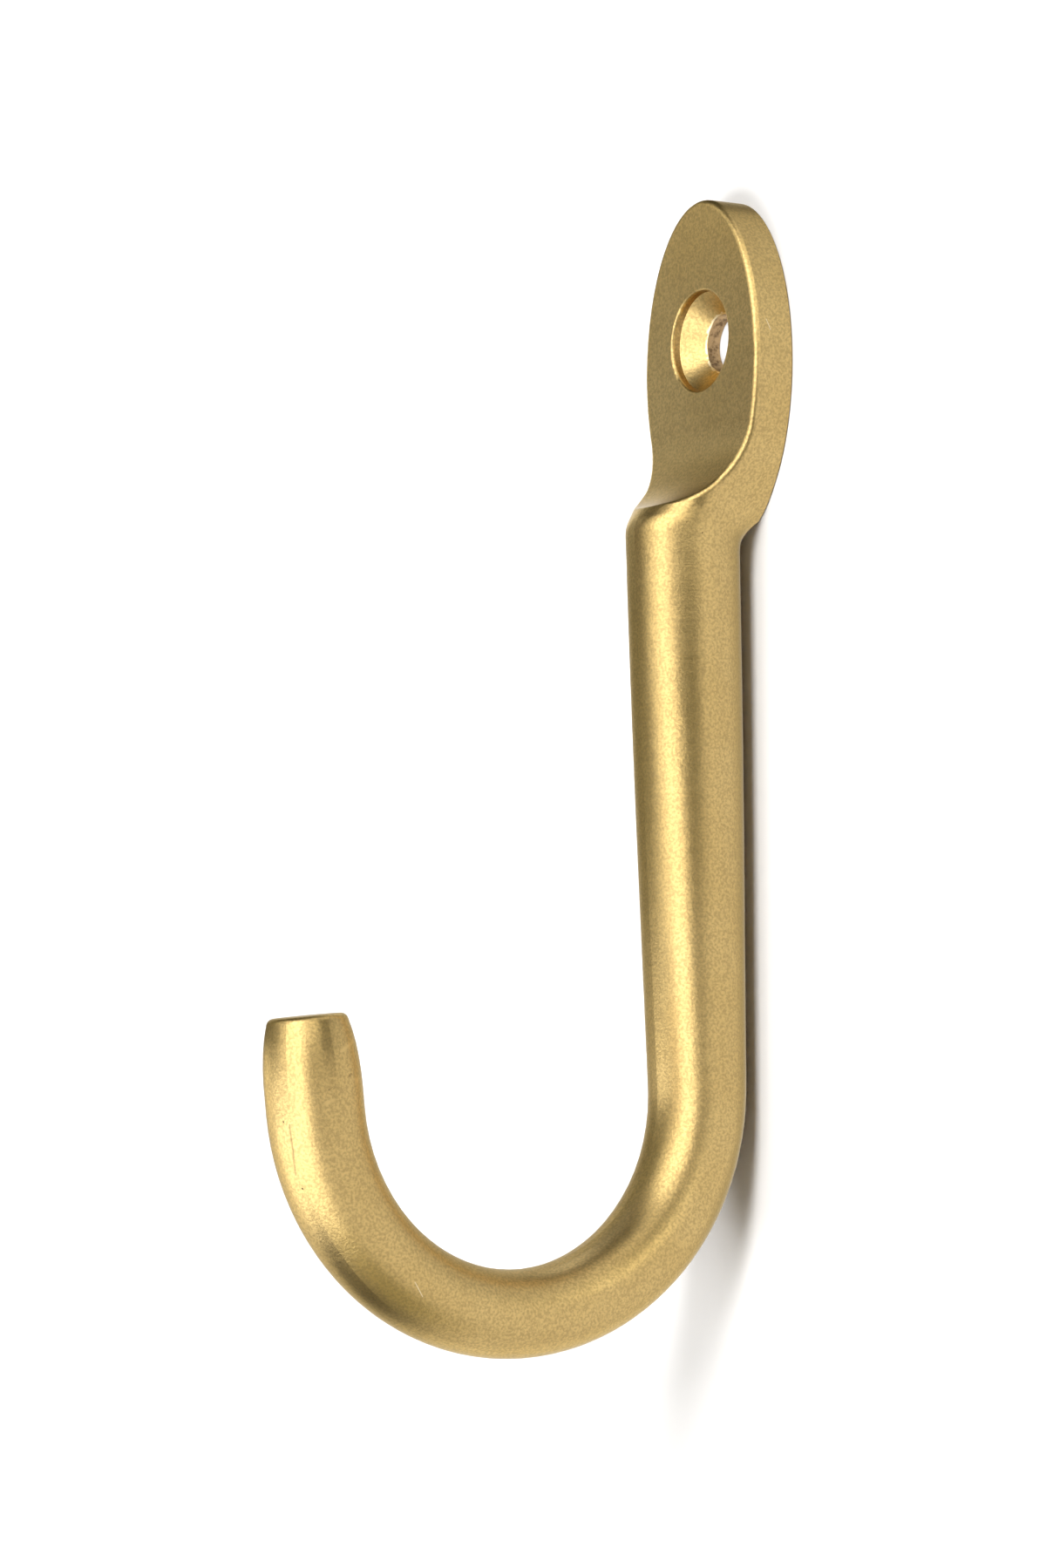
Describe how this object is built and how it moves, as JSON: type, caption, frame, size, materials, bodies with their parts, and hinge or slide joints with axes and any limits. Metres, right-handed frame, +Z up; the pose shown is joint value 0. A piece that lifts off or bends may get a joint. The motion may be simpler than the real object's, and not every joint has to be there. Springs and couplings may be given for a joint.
{
  "type": "coat hook",
  "caption": "Solid brass coat hook: an oval wall plate with a countersunk screw hole steps through a cove into a round bar that bends up into a J with a blunt tip.",
  "frame": {"origin": "where the screw hole's axis meets the wall plane, on the plate's back face", "axes": "+Z up along the wall, -Y out of the wall into the room, +X to the right of someone facing the wall"},
  "size_m": [0.017, 0.0445, 0.0962],
  "materials": {
    "satin_brass": "satin, fine grained, clear matt lacquer"
  },
  "bodies": {
    "root": {"coat_hook": "satin_brass"}
  },
  "joints": []
}
